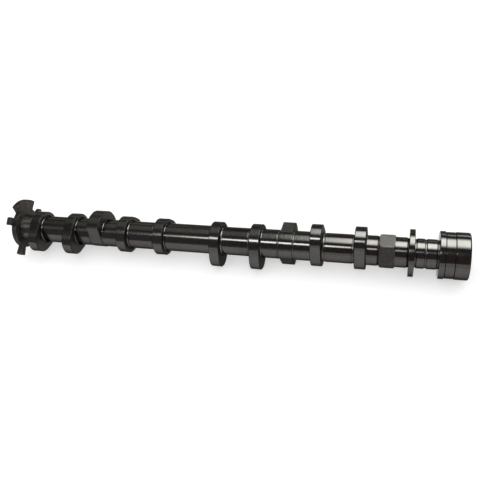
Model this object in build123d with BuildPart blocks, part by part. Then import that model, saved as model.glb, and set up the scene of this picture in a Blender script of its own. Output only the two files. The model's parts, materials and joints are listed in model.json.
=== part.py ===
from build123d import *

import os
from math import atan2, cos, degrees, hypot, radians, sin, sqrt

# Overhead camshaft for one bank of a V8 engine, cast and ground as one piece.
#
# The shaft lies along X. The origin is the centre of the front end face, on the drum
# that takes the cam drive, and the shaft runs back from it along -X. +Z is up.
# A direction round the shaft is an angle from +Y, turning towards +Z.
# Lengths are in millimetres and angles in degrees.

# --- Cylinders and their firing order ---------------------------------------------
cylinder_pitch = 100.0
front_cylinder_distance = 116.0  # front end face to the front cylinder's centre line
firing_interval = 45.0  # turn of the camshaft from one firing of the engine to the next
firing_places = (0, 5, 3, 6)  # of the four cylinders, from the front
front_nose_direction = 90.0  # straight up, so that it rests on the two middle cylinders' noses

# --- Cam lobes, two to a cylinder -------------------------------------------------
lobe_spacing = 40.6  # centre to centre of a cylinder's two lobes
lobe_width = 10.4
base_circle_diameter = 37.3
valve_lift = 7.8
nose_radius = 15.3
flank_radius = 110.0
lobe_edge_chamfer = 0.9

# --- Shaft and bearing journals ---------------------------------------------------
shaft_diameter = 28.4
journal_diameter = 28.0
journal_length = 25.0
relief_diameter = 27.2  # grinding relief at each end of a journal
journal_edge_chamfer = 0.3
relief_length = 1.6  # of the reliefs beside counterweights and hexagon
foot_chamfer = 0.9  # of the conical foot where a lobe meets the shaft

# --- Counterweights, midway between two cylinders ---------------------------------
counterweight_width = 13.2
counterweight_radius = 23.1
counterweight_half_angle = 66.0
counterweight_back_diameter = 29.2  # of the light side, a little proud of the shaft
counterweight_edge_chamfer = 0.8
counterweight_directions = (-48.0, 48.0)  # of the front one and the rear one

# --- Trigger wheel for the position sensor, at the rear end -----------------------
wheel_distance = 461.7  # front end face to the wheel's rear face
wheel_thickness = 5.5
wheel_root_diameter = 42.6
wheel_tip_diameter = 61.4
narrow_tab_angle = 16.0
wide_tab_angle = 64.5
narrow_tab_directions = (112.5, -18.0, 202.0)
wide_tab_direction = 49.0
tab_tip_fillet = 0.8
tab_root_fillet = 1.2

# --- Hexagon that a spanner holds -------------------------------------------------
hexagon_across_flats = 28.4
hexagon_length = 14.1
hexagon_turned_diameter = 32.6  # over the corners
hexagon_end_chamfer = 1.4
hexagon_direction = 109.5  # of one corner

# --- Thrust flange and the ringed neck that feeds oil to the cam drive ------------
front_shaft_length = 12.1  # between the hexagon and the flange
flange_diameter = 44.2
flange_thickness = 5.0
flange_edge_chamfer = 0.5
neck_diameter = 26.4
flange_neck_length = 1.8
ring_diameter = 27.8
ring_edge_chamfer = 0.4
rear_ring_length = 7.1
ring_groove_length = 1.8
front_ring_length = 8.9
drum_neck_length = 1.6

# --- Drum that the cam drive sits on ----------------------------------------------
rear_land_diameter = 44.0
rear_land_length = 5.0
recess_diameter = 42.7
recess_length = 8.8
front_land_diameter = 43.4
front_land_length = 12.5
land_edge_chamfer = 0.3
drum_rear_chamfer = 0.7
drum_front_chamfer = 1.6
scribed_groove_width = 0.6
scribed_groove_depth = 0.8

# --- Holes in the two end faces ---------------------------------------------------
bolt_hole_diameter = 10.8
bolt_hole_depth = 38.0
dowel_hole_diameter = 5.0
dowel_hole_depth = 8.0
dowel_circle_diameter = 29.0
dowel_direction = 90.0
centre_hole_diameter = 5.0
centre_hole_depth = 8.0
centre_hole_mouth_diameter = 9.0

# --- Places along the shaft, worked out from the sizes above ----------------------
base_radius = base_circle_diameter / 2
cylinder_places = [
    -front_cylinder_distance - number * cylinder_pitch for number in range(len(firing_places))
]
nose_directions = [front_nose_direction - place * firing_interval for place in firing_places]
lobe_places = [
    place + side * lobe_spacing / 2 for place in cylinder_places for side in (1, -1)
]
counterweight_places = [
    (cylinder_places[0] + cylinder_places[1]) / 2,
    (cylinder_places[2] + cylinder_places[3]) / 2,
]
relief_reach = counterweight_width / 2 + relief_length  # each way from a counterweight's middle
nearby = 0.01  # two places closer than this are one place

recess_front = -front_land_length
recess_rear = recess_front - recess_length
drum_rear = recess_rear - rear_land_length
front_ring_front = drum_rear - drum_neck_length
front_ring_rear = front_ring_front - front_ring_length
rear_ring_front = front_ring_rear - ring_groove_length
rear_ring_rear = rear_ring_front - rear_ring_length
flange_front = rear_ring_rear - flange_neck_length
flange_rear = flange_front - flange_thickness
hexagon_front = flange_rear - front_shaft_length
hexagon_rear = hexagon_front - hexagon_length
wheel_rear = -wheel_distance
wheel_front = wheel_rear + wheel_thickness


def across(place, direction=0.0):
    """A plane square to the shaft at a place along it, with its own x towards a direction."""
    toward = (0, cos(radians(direction)), sin(radians(direction)))
    return Plane(origin=(place, 0, 0), x_dir=toward, z_dir=(1, 0, 0))


def turned(rear, front, diameter, rear_chamfer=0.0, front_chamfer=0.0):
    """Half the section of one turned length, from the axis out. A corner met twice counts once."""
    radius = diameter / 2
    corners = [
        (rear, 0),
        (rear, radius - rear_chamfer),
        (rear + rear_chamfer, radius),
        (front - front_chamfer, radius),
        (front, radius - front_chamfer),
        (front, 0),
    ]
    Polygon(*dict.fromkeys(corners), align=None)


# --- One cam lobe, centred on the origin with its nose towards +Y ------------------
# Its outline is the base circle, the nose's arc and two flank arcs tangent to both.
nose_offset = base_radius + valve_lift - nose_radius
flank_to_base = flank_radius - base_radius
flank_to_nose = flank_radius - nose_radius
flank_along = (nose_offset**2 + flank_to_base**2 - flank_to_nose**2) / (2 * nose_offset)
flank_aside = sqrt(flank_to_base**2 - flank_along**2)
base_tangent = degrees(atan2(flank_aside, -flank_along))
nose_tangent = degrees(atan2(flank_aside, nose_offset - flank_along))
flank_arc = base_tangent - nose_tangent

with BuildPart() as lobe:
    with BuildSketch(across(-lobe_width / 2)):
        with BuildLine():
            CenterArc((0, 0), base_radius, base_tangent, 360 - 2 * base_tangent)
            CenterArc((nose_offset, 0), nose_radius, -nose_tangent, 2 * nose_tangent)
            CenterArc((flank_along, -flank_aside), flank_radius, nose_tangent, flank_arc)
            CenterArc((flank_along, flank_aside), flank_radius, -base_tangent, flank_arc)
        make_face()
    extrude(amount=lobe_width)
    lobe_ends = lobe.edges().filter_by(Plane.YZ)
    chamfer(lobe_ends, lobe_edge_chamfer)

# --- One counterweight, centred on the origin with its weight towards +Y ----------
# Two flats tangent to its light side widen to the outer arc on the heavy side.
back_radius = counterweight_back_diameter / 2
back_turn = degrees(atan2(sqrt(counterweight_radius**2 - back_radius**2), back_radius))
back_tangent = counterweight_half_angle + back_turn

with BuildPart() as counterweight:
    with BuildSketch(across(-counterweight_width / 2)):
        with BuildLine():
            heavy = CenterArc(
                (0, 0), counterweight_radius, -counterweight_half_angle, 2 * counterweight_half_angle
            )
            light = CenterArc((0, 0), back_radius, back_tangent, 360 - 2 * back_tangent)
            Line(heavy @ 1, light @ 0)
            Line(light @ 1, heavy @ 0)
        make_face()
    extrude(amount=counterweight_width)
    rims = counterweight.edges().filter_by(Plane.YZ).filter_by(GeomType.CIRCLE)
    chamfer(rims.filter_by(lambda rim: rim.radius > back_radius), counterweight_edge_chamfer)

# --- Trigger wheel, in place -------------------------------------------------------
wheel_tabs = [(direction, narrow_tab_angle) for direction in narrow_tab_directions]
wheel_tabs.append((wide_tab_direction, wide_tab_angle))

with BuildPart() as trigger_wheel:
    with BuildSketch(across(wheel_rear)) as wheel_face:
        for direction, angle in wheel_tabs:
            far = Vector(wheel_tip_diameter, 0)
            side = far.rotate(Axis.Z, direction - angle / 2)
            other_side = far.rotate(Axis.Z, direction + angle / 2)
            Polygon((0, 0), (side.X, side.Y), (other_side.X, other_side.Y), align=None)
        Circle(wheel_tip_diameter / 2, mode=Mode.INTERSECT)
        Circle(wheel_root_diameter / 2)
        corners = wheel_face.vertices().group_by(lambda corner: round(hypot(corner.X, corner.Y), 3))
        fillet(corners[0], tab_root_fillet)
        corners = wheel_face.vertices().group_by(lambda corner: round(hypot(corner.X, corner.Y), 3))
        fillet(corners[-1], tab_tip_fillet)
    extrude(amount=wheel_thickness)

# --- Hexagon, in place, with its corners turned and its ends chamfered ---------------
with BuildPart() as hexagon:
    with BuildSketch(across(hexagon_rear, hexagon_direction)):
        RegularPolygon(hexagon_across_flats / 2, 6, major_radius=False)
    extrude(amount=hexagon_length)
    with BuildSketch(Plane.XZ):
        turned(
            hexagon_rear,
            hexagon_front,
            hexagon_turned_diameter,
            hexagon_end_chamfer,
            hexagon_end_chamfer,
        )
    revolve(axis=Axis.X, mode=Mode.INTERSECT)

# --- Whole camshaft ----------------------------------------------------------------
with BuildPart() as camshaft:
    with BuildSketch(Plane.XZ):
        # The core of the long shaft shows as the relief at each journal's ends.
        turned(wheel_rear, flange_front, relief_diameter)
        for place in cylinder_places:
            turned(
                place - journal_length / 2,
                place + journal_length / 2,
                journal_diameter,
                journal_edge_chamfer,
                journal_edge_chamfer,
            )
        # The plain shaft is broken by each pair of lobes, each counterweight and the hexagon.
        breaks = [(place - lobe_spacing / 2, place + lobe_spacing / 2) for place in cylinder_places]
        breaks += [(place - relief_reach, place + relief_reach) for place in counterweight_places]
        breaks.append((hexagon_rear - relief_length, hexagon_front))
        plain_from = wheel_front
        for break_rear, break_front in sorted(breaks):
            turned(plain_from, break_rear, shaft_diameter)
            plain_from = break_front
        turned(plain_from, flange_rear, shaft_diameter)
        # Thrust flange, rings and the neck under them.
        turned(flange_rear, flange_front, flange_diameter, flange_edge_chamfer, flange_edge_chamfer)
        turned(flange_front, drum_rear, neck_diameter)
        turned(rear_ring_rear, rear_ring_front, ring_diameter, ring_edge_chamfer, ring_edge_chamfer)
        turned(front_ring_rear, front_ring_front, ring_diameter, ring_edge_chamfer, ring_edge_chamfer)
        # Drum: two lands, and a shallow recess between them with a scribed groove at each end.
        turned(drum_rear, 0, recess_diameter - 2 * scribed_groove_depth)
        turned(drum_rear, recess_rear, rear_land_diameter, drum_rear_chamfer, land_edge_chamfer)
        turned(recess_rear + scribed_groove_width, recess_front - scribed_groove_width, recess_diameter)
        turned(recess_front, 0, front_land_diameter, land_edge_chamfer, drum_front_chamfer)
    revolve(axis=Axis.X)

    for number, direction in enumerate(nose_directions):
        for place in lobe_places[2 * number : 2 * number + 2]:
            with Locations(Location((place, 0, 0), (direction, 0, 0))):
                add(lobe.part)
    for place, direction in zip(counterweight_places, counterweight_directions):
        with Locations(Location((place, 0, 0), (direction, 0, 0))):
            add(counterweight.part)
    add(trigger_wheel.part)
    add(hexagon.part)

    # A foot is a circle round the shaft's own axis, in the plane of a lobe's end face.
    lobe_faces = [place + side * lobe_width / 2 for place in lobe_places for side in (1, -1)]
    foot_circles = camshaft.edges().filter_by(GeomType.CIRCLE).filter_by(
        lambda edge: edge.radius < (shaft_diameter + base_circle_diameter) / 4
        and hypot(edge.arc_center.Y, edge.arc_center.Z) < nearby
        and min(abs(edge.arc_center.X - face) for face in lobe_faces) < nearby
    )
    chamfer(foot_circles, foot_chamfer)

    with Locations(across(0)):
        Hole(bolt_hole_diameter / 2, bolt_hole_depth)
        with PolarLocations(dowel_circle_diameter / 2, 1, dowel_direction):
            Hole(dowel_hole_diameter / 2, dowel_hole_depth)
    with Locations(Plane(origin=(wheel_rear, 0, 0), z_dir=(-1, 0, 0))):
        CounterSinkHole(
            centre_hole_diameter / 2,
            centre_hole_mouth_diameter / 2,
            centre_hole_depth,
            counter_sink_angle=60,
        )

camshaft.part.label = "camshaft"
os.makedirs("parts", exist_ok=True)
export_step(camshaft.part, "parts/camshaft.step")
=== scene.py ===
"""Overhead camshaft for one bank of a V8 engine, in ground, turned and milled iron."""

import json
from math import acos, asin, atan2, cos, degrees, hypot, pi, radians, sin, sqrt, tan, tau

import bpy
from mathutils import Matrix, Vector


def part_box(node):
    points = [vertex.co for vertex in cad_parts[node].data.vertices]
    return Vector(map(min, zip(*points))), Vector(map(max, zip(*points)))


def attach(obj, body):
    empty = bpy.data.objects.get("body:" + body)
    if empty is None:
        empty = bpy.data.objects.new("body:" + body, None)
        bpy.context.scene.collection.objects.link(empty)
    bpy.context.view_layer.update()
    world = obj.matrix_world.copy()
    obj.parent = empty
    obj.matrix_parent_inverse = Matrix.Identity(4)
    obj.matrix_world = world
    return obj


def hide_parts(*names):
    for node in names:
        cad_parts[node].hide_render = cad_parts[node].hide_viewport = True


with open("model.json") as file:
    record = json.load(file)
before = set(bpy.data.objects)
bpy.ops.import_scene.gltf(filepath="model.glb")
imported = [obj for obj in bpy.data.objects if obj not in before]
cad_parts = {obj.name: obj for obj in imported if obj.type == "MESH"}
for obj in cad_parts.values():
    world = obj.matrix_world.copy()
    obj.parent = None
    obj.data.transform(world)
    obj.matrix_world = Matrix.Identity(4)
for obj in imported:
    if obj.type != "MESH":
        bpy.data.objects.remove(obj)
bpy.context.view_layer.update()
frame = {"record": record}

bl_info = {
    "name": "Camshaft",
    "version": (1, 0, 0),
    "blender": (4, 5, 0),
    "location": "3D View > Sidebar > Camshaft",
    "description": "A one-piece overhead camshaft with ground lobes, trigger wheel and drive drum",
    "category": "Add Mesh",
}

# The shaft lies along X, with its front end face at X = 0. A direction round the shaft is an
# angle from +Y, turning towards +Z. Lengths are in metres.
NODE = SLOT = "camshaft"
BODY = "root"
MOUNTS = {mount["name"]: mount for mount in frame["record"]["mounts"]}
REAR_END, FRONT_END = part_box(NODE)[0].x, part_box(NODE)[1].x
FLOOR_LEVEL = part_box(NODE)[0].z
CYLINDER_PLACES = [MOUNTS[f"journal_{number}"]["pos_m"][0] for number in (1, 2, 3, 4)]
GUARD = 0.0002  # from a rounded corner to the loop that guards the shading beside it
EMBED = 0.0006  # how far a piece runs into the next one where the two are one casting
SLIGHT = 0.0002  # less than this off a surface still counts as on it
BEVEL_SLOPE, END_SLOPE = 0.1, 0.98  # least share of a normal along the shaft, on bevels and ends
MOUTH = 0.0008  # chamfer at the mouth of the bolt hole
CENTRE_CONE = 60  # angle of a lathe centre's point, in degrees


# --- Properties ---------------------------------------------------------------------------


def length(name, description, default):
    """A length property, in metres."""
    return bpy.props.FloatProperty(
        name=name, description=description, default=default, min=0.0, precision=5, unit="LENGTH"
    )


def angle(name, description, default):
    """An angle property. Its default is given in degrees."""
    return bpy.props.FloatProperty(
        name=name, description=description, default=radians(default), unit="ROTATION"
    )


def amount(name, description, default, high=1.0):
    """A plain number from nothing to a highest value."""
    return bpy.props.FloatProperty(
        name=name, description=description, default=default, min=0.0, max=high, precision=4
    )


def colour(name, description, default):
    """A colour property."""
    return bpy.props.FloatVectorProperty(
        name=name, description=description, default=default, subtype="COLOR", min=0.0, max=1.0
    )


class CamshaftShaftSizes(bpy.types.PropertyGroup):
    """The plain shaft and its four bearing journals."""

    diameter: length("Shaft diameter", "Across the plain shaft", 0.0284)
    journal_diameter: length("Journal diameter", "Across a ground bearing journal", 0.0280)
    journal_length: length("Journal length", "Along a ground bearing journal", 0.0250)
    journal_edge: length("Journal edge", "Rounding at each end of a journal", 0.0003)
    relief_diameter: length("Relief diameter", "Across the relief beside a journal", 0.0272)
    relief_length: length("Relief length", "Along the relief beside a counterweight", 0.0016)
    flange_relief: length("Flange relief", "Along the relief behind the thrust flange", 0.0015)
    foot_radius: length("Foot radius", "Cove where a lobe or a weight meets the shaft", 0.0009)
    counterweight_foot: length("Counterweight foot", "Cove beside a counterweight", 0.0009)


class CamshaftLobeSizes(bpy.types.PropertyGroup):
    """The eight lobes, two to a cylinder."""

    spacing: length("Lobe spacing", "Centre to centre of a cylinder's two lobes", 0.0406)
    width: length("Lobe width", "Along the shaft", 0.0104)
    base_diameter: length("Base circle", "Diameter of the base circle", 0.0373)
    lift: length("Valve lift", "How far the nose stands out past the base circle", 0.0078)
    nose_radius: length("Nose radius", "Radius of the nose", 0.0153)
    flank_radius: length("Flank radius", "Radius of the flanks", 0.1100)
    edge: length("Lobe edge", "Bevel round the two edges of a lobe", 0.0006)
    firing_interval: angle("Firing interval", "Turn of the shaft from one firing to the next", 45)
    firing_places: bpy.props.IntVectorProperty(
        name="Firing places",
        description="Place in the firing order of each cylinder, from the front",
        default=(0, 5, 3, 6),
        size=4,
    )
    front_nose: angle("Front nose direction", "Direction of the front cylinder's noses", 90)


class CamshaftWeightSizes(bpy.types.PropertyGroup):
    """The two counterweights, each midway between two cylinders."""

    width: length("Counterweight width", "Along the shaft", 0.0132)
    radius: length("Counterweight radius", "Of the outer arc on the heavy side", 0.0231)
    half_angle: angle("Half angle", "Half the angle that the outer arc covers", 66)
    back_diameter: length("Back diameter", "Across the light side", 0.0292)
    corner_rounding: length("Corner rounding", "Where the outer arc meets a flat side", 0.0012)
    edge: length("Counterweight edge", "Bevel round its outer edges", 0.0006)
    front_direction: angle("Front direction", "Direction of the front counterweight", -48)
    rear_direction: angle("Rear direction", "Direction of the rear counterweight", 48)


class CamshaftWheelSizes(bpy.types.PropertyGroup):
    """The trigger wheel for the position sensor, at the rear end."""

    thickness: length("Wheel thickness", "Along the shaft", 0.0055)
    root_diameter: length("Root diameter", "Across the wheel between its tabs", 0.0426)
    tip_diameter: length("Tip diameter", "Across the tips of the tabs", 0.0614)
    narrow_angle: angle("Narrow tab", "Angle that a narrow tab covers", 16)
    wide_angle: angle("Wide tab", "Angle that the wide tab covers", 64.5)
    wide_direction: angle("Wide tab direction", "Direction of the wide tab's middle", 49)
    upper_direction: angle("Upper tab direction", "Direction of the upper narrow tab", 112.5)
    left_direction: angle("Left tab direction", "Direction of the left narrow tab", 202)
    right_direction: angle("Right tab direction", "Direction of the right narrow tab", -18)
    tip_fillet: length("Tip fillet", "Rounding of a tab's corners", 0.0008)
    root_fillet: length("Root fillet", "Cove at a tab's foot", 0.0012)
    edge: length("Wheel edge", "Rounding of the wheel's edges", 0.0003)
    centre_hole_diameter: length("Centre hole", "Across the lathe centre's hole", 0.0050)
    centre_hole_mouth: length("Centre hole mouth", "Across the cone at its mouth", 0.0090)
    centre_hole_depth: length("Centre hole depth", "Depth of the lathe centre's hole", 0.0080)


class CamshaftHexagonSizes(bpy.types.PropertyGroup):
    """The hexagon that a spanner holds."""

    across_flats: length("Across flats", "Across two opposite flats", 0.0284)
    turned_diameter: length("Turned diameter", "Across the turned corners", 0.0326)
    length: length("Hexagon length", "Along the shaft", 0.0141)
    end_chamfer: length("End chamfer", "Turned chamfer at each end", 0.0014)
    direction: angle("Hexagon direction", "Direction of one corner", 109.5)


class CamshaftFrontSizes(bpy.types.PropertyGroup):
    """The thrust flange, the ringed oil neck and the drum that takes the cam drive."""

    front_shaft: length("Front shaft length", "Between the hexagon and the flange", 0.0121)
    flange_diameter: length("Flange diameter", "Across the thrust flange", 0.0442)
    flange: length("Flange thickness", "Along the shaft", 0.0050)
    flange_edge: length("Flange edge", "Rounding of the flange's edges", 0.0005)
    neck_diameter: length("Neck diameter", "Across the neck under the rings", 0.0264)
    flange_neck: length("Neck by the flange", "From the flange to the first ring", 0.0018)
    ring_diameter: length("Ring diameter", "Across the two oil rings", 0.0278)
    ring_edge: length("Ring edge", "Rounding of the rings' edges", 0.0004)
    rear_ring: length("Rear ring length", "Along the ring by the flange", 0.0071)
    ring_groove: length("Ring groove", "Between the two rings", 0.0018)
    front_ring: length("Front ring length", "Along the ring by the drum", 0.0089)
    drum_neck: length("Neck by the drum", "From the second ring to the drum", 0.0016)
    rear_land_diameter: length("Rear land diameter", "Across the drum's rear land", 0.0440)
    rear_land: length("Rear land length", "Along the drum's rear land", 0.0050)
    recess_diameter: length("Recess diameter", "Across the shallow recess", 0.0427)
    recess: length("Recess length", "Along the shallow recess", 0.0088)
    front_land: length("Front land length", "Along the drum's front land", 0.0125)
    land_edge: length("Land edge", "Rounding of the lands' inner edges", 0.0003)
    rear_chamfer: length("Drum rear edge", "Rounding of the drum's rear edge", 0.0007)
    front_chamfer: length("Drum front edge", "Rounding of the drum's front edge", 0.0016)
    groove_width: length("Scribed groove width", "Of the groove at each end of the recess", 0.0006)
    groove_depth: length("Scribed groove depth", "Of the groove at each end of the recess", 0.0008)
    thread_pitch: length("Thread pitch", "Of the bolt hole's thread", 0.00125)
    thread_depth: length("Thread depth", "Of the bolt hole's thread", 0.00055)


class CamshaftFinishes(bpy.types.PropertyGroup):
    """Colours and roughnesses of the iron's finishes."""

    iron: colour("Iron", "Bare ground iron", (0.0755, 0.0745, 0.073))
    milled: colour("Milled iron", "Milled and cast faces", (0.076, 0.075, 0.073))
    cast: colour("Cast iron", "The trigger wheel", (0.064, 0.063, 0.061))
    # Painted shade: the bevels are painted far darker than the iron, so that they catch no
    # highlight.
    bevel: colour("Bevelled iron", "Bevels, dull with old oil", (0.022, 0.0215, 0.021))
    hub: colour("Hub iron", "The coarse turned hub by the wheel", (0.106, 0.103, 0.098))
    # Painted highlight: the coves' front sides are painted lighter than the iron, so that they
    # glint.
    fillet: colour("Fillet iron", "Fillets at the lobes' feet", (0.110, 0.107, 0.103))
    oil: colour("Oil film", "Thin brown film of old oil", (0.060, 0.050, 0.046))
    # Painted shade: near black, painted into the grooves, two reliefs and the coves' steep edges.
    groove: colour("Groove iron", "Narrow grooves, black with old oil", (0.016, 0.014, 0.013))
    grazing: colour("Grazing tint", "Tint of reflections at a grazing angle", (0.33, 0.32, 0.31))
    ground_roughness: amount("Ground roughness", "Of the shaft, journals and drum", 0.17)
    rim_roughness: amount("Lobe rim roughness", "Of the lobes' ground rims", 0.17)
    milled_roughness: amount("Milled roughness", "Of milled faces", 0.42)
    bevel_roughness: amount("Bevel roughness", "Of the lobes' bevels", 0.52)
    cast_roughness: amount("Cast roughness", "Of the trigger wheel", 0.50)
    spanner_roughness: amount("Spanner flat roughness", "Of the hexagon's flats", 0.50)
    coarse_roughness: amount("Coarse turned roughness", "Of the hub by the wheel", 0.37)
    fillet_roughness: amount("Fillet roughness", "Of the fillets at the lobes' feet", 0.20)


class CamshaftStageSettings(bpy.types.PropertyGroup):
    """The floor, the lamps, the dark screens and the camera."""

    floor_colour: colour("Floor colour", "Plain pale floor", (0.74, 0.74, 0.74))
    floor_glow: amount("Floor glow", "Light that it adds in the picture and in mirrors", 0.43)
    floor_size: length("Floor size", "Across the floor", 8.0)
    room_light: amount("Room light", "Of the white room on everything in it", 0.9, 10.0)
    room_lamp: amount("Room lamp", "Power of the soft lamp over the floor, in watts", 4.0, 100.0)
    strip_light: amount("Strip light", "Brightness of the long lamp overhead", 16.5, 100.0)
    broad_light: amount("Broad light", "Brightness of the wide lamp by the front end", 10.4, 100.0)
    low_light: amount("Low light", "Brightness of the low lamp behind the front end", 9.2, 100.0)
    fill_light: amount("Rear fill", "Brightness of the dim sheet over the rear end", 0.63, 10.0)
    low_fill: amount("Low fill", "Brightness of the dim sheet low behind the rear end", 0.86, 10.0)
    overhead_fill: amount("Overhead fill", "Brightness of the dim sheet overhead", 0.52, 10.0)
    front_fill: amount("Front fill", "Brightness of the dim sheet over the front", 0.265, 10.0)
    strip_colour: colour("Strip colour", "Of the long lamp overhead", (1.0, 0.965, 0.965))
    broad_colour: colour("Broad colour", "Of the wide lamp", (0.98, 1.0, 0.945))
    screen_shade: colour("Screen shade", "Of the dark screens overhead", (0.172, 0.159, 0.159))
    front_shade: colour("Front shade", "Of the front screen", (0.205, 0.150, 0.135))
    screen_foot: colour("Screen foot", "Of the rear screen at the floor", (0.35, 0.35, 0.34))
    card_shade: colour("Card shade", "Of the white card in front", (0.98, 0.98, 0.98))
    camera_azimuth: angle("Camera azimuth", "Direction that the camera stands in", -26.15)
    camera_elevation: angle("Camera elevation", "Above the floor", 53.77)
    camera_roll: angle("Camera roll", "Turn about its own axis", -17.845)
    camera_distance: length("Camera distance", "From the camera to its aim", 0.58425)
    camera_aim: bpy.props.FloatVectorProperty(
        name="Camera aim",
        description="Point at the middle of the picture",
        default=(-0.21410, 0.00133, 0.00087),
        subtype="XYZ",
        precision=5,
    )
    lens: amount("Lens", "Focal length in millimetres, for a 36 mm sensor", 44.06, 200.0)


class CamshaftSettings(bpy.types.PropertyGroup):
    """Everything that the panel shows."""

    shaft: bpy.props.PointerProperty(type=CamshaftShaftSizes)
    lobes: bpy.props.PointerProperty(type=CamshaftLobeSizes)
    weights: bpy.props.PointerProperty(type=CamshaftWeightSizes)
    wheel: bpy.props.PointerProperty(type=CamshaftWheelSizes)
    hexagon: bpy.props.PointerProperty(type=CamshaftHexagonSizes)
    front: bpy.props.PointerProperty(type=CamshaftFrontSizes)
    finishes: bpy.props.PointerProperty(type=CamshaftFinishes)
    stage: bpy.props.PointerProperty(type=CamshaftStageSettings)


# --- Node building ------------------------------------------------------------------------


class Nodes:
    """A node tree with short calls to add and join nodes."""

    def __init__(self, tree):
        self.tree = tree

    def add(self, kind, inputs=None, **settings):
        """Adds a node with its inputs and settings."""
        node = self.tree.nodes.new(kind)
        for key, value in settings.items():
            setattr(node, key, value)
        for key, value in (inputs or {}).items():
            self.feed(node, key, value)
        return node

    def feed(self, node, key, value):
        """Joins a socket or a node's first output to an input, or sets it to a plain value."""
        if isinstance(value, bpy.types.Node):
            value = value.outputs[0]
        if isinstance(value, bpy.types.NodeSocket):
            self.tree.links.new(value, node.inputs[key])
        else:
            node.inputs[key].default_value = value

    def math(self, operation, *values):
        """Adds a sum of sockets and plain numbers."""
        inputs = dict(enumerate(values))
        return self.add("ShaderNodeMath", inputs, operation=operation).outputs[0]

    def spread(self, value, span, onto=(0.0, 1.0)):
        """Maps a value from one span onto another, held to the ends."""
        ends = dict(zip(("From Min", "From Max", "To Min", "To Max"), (*span, *onto)))
        return self.add("ShaderNodeMapRange", {"Value": value, **ends}).outputs[0]

    def blend(self, factor, first, second):
        """Mixes two colours by a factor."""
        inputs = {0: factor, 6: first, 7: second}
        return self.add("ShaderNodeMix", inputs, data_type="RGBA").outputs[2]

    def noise(self, place, scale, detail, roughness=0.5):
        """Noise with its scale to the metre."""
        inputs = {"Vector": place, "Scale": scale, "Detail": detail, "Roughness": roughness}
        return self.add("ShaderNodeTexNoise", inputs).outputs[0]


def new_material(name):
    """A material with its nodes and its shader."""
    material = bpy.data.materials.new(name)
    material.use_nodes = True
    return material, Nodes(material.node_tree), material.node_tree.nodes["Principled BSDF"]


# --- Finishes -----------------------------------------------------------------------------

# Each finish is (colour, roughness, share, brushed, marks, mottle, contrast, film). Its colour and
# roughness are in the settings, and share is its part of that roughness. brushed is how far its
# marks spread reflections across them. marks and mottle are each (how many to the metre, how deep
# in metres). contrast is how far the mottling lightens and darkens the iron, and film is how much
# of it a film of old oil covers.
FINISHES = {
    # The plain shaft, ground smooth.
    "ground": ("iron", "ground", 1.0, 0.75, (1500, 2.2e-6), (520, 2.2e-6), 0.20, 0.30),
    # The journals, flange, rings and drum, polished for the bearings and seals on them.
    "polished": ("iron", "ground", 0.85, 0.65, (2200, 1.2e-6), (420, 1.5e-6), 0.14, 0.55),
    # The rims of lobes and counterweights and the hexagon's turned corners, ground.
    "lobe_rim": ("iron", "rim", 1.0, 0.6, (1300, 3e-6), (900, 4e-6), 0.24, 0.25),
    # The end faces of lobes and the sides of counterweights, milled and left matt.
    "milled": ("milled", "milled", 1.0, 0.3, (900, 6e-6), (760, 12e-6), 0.22, 0.35),
    # The trigger wheel, cast and skimmed.
    "cast": ("cast", "cast", 1.0, 0.1, (700, 5e-6), (420, 50e-6), 0.65, 0.70),
    # Bevels round the lobes and counterweights, painted dark as painted shade, so that they catch
    # no highlight.
    "bevel": ("bevel", "bevel", 1.0, 0.2, (900, 6e-6), (760, 12e-6), 0.25, 0.35),
    # The hexagon's flats, left as they were milled.
    "spanner": ("milled", "spanner", 1.0, 0.2, (1100, 8e-6), (900, 35e-6), 0.45, 0.35),
    # The short hub by the trigger wheel, with coarse turning marks.
    "coarse_turned": ("hub", "coarse", 1.0, 0.75, (700, 20e-6), (420, 42e-6), 0.65, 0.60),
    # The front sides of the coves: a painted highlight, painted lighter than the iron and broken
    # into bright patches, with oil film between them.
    "fillet": ("fillet", "fillet", 1.0, 0.2, (1200, 6e-6), (450, 60e-6), 0.60, 0.70),
    # Reliefs, the oil neck and holes, turned and left dark with oil.
    "turned_relief": ("iron", "milled", 0.75, 0.4, (2600, 4e-6), (700, 4e-6), 0.25, 0.60),
    # Narrow grooves, the reliefs behind the flange and the hexagon, and the coves' steep edges:
    # painted near black, as painted shade of these recesses and corners.
    "oily_groove": ("groove", "milled", 1.0, 0.2, (2600, 4e-6), (700, 6e-6), 0.30, 0.10),
}
FILM_PATCHES = 34.0  # patches of oil film to the metre
BREAK_SHARE = 0.35  # breaks in the machining rings, to each mottle
MOST = (0.30, 0.70)  # the range that most of a noise lies in


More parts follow.
